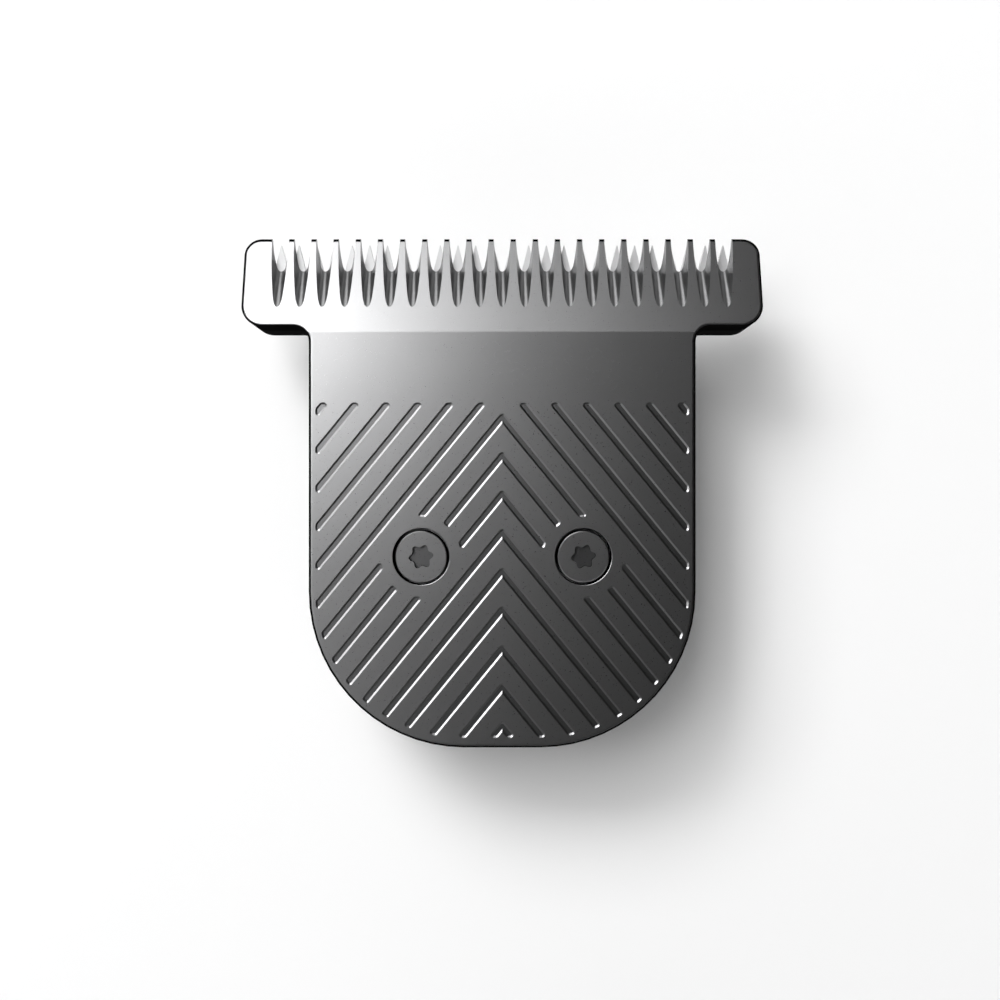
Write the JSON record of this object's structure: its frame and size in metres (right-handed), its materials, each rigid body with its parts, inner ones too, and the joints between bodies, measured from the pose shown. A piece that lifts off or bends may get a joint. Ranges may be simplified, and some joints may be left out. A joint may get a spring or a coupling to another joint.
{
  "type": "hair clipper blade",
  "caption": "T-shaped trimmer blade head: a toothed steel comb plate with chevron grip grooves over a sliding cutter, a strip spring and a push-on plastic frame.",
  "frame": {"origin": "bottom centre of the box: on the rim of the frame's spigot, under the middle of the T outline", "axes": "+X across the ears, +Y to the tooth tips, +Z out of the comb plate"},
  "size_m": [0.0396, 0.0386, 0.0094],
  "materials": {
    "comb_steel": "bead-blasted dark satin",
    "cutter_steel": "ground",
    "screw_steel": "dark satin",
    "spring_steel": "rolled strip",
    "frame_plastic": "fine texture",
    "carrier_plastic": "smooth"
  },
  "bodies": {
    "head": {"comb_plate": "comb_steel", "base_frame": "frame_plastic", "plate_screws": "screw_steel", "pressure_spring": "spring_steel"},
    "cutter": {"cutter_blade": "cutter_steel", "cutter_carrier": "carrier_plastic"}
  },
  "joints": [
    {"name": "cutter_slide", "type": "slide", "parent": "head", "child": "cutter", "axis": [1, 0, 0], "range_m": [-0.001, 0.001]}
  ]
}
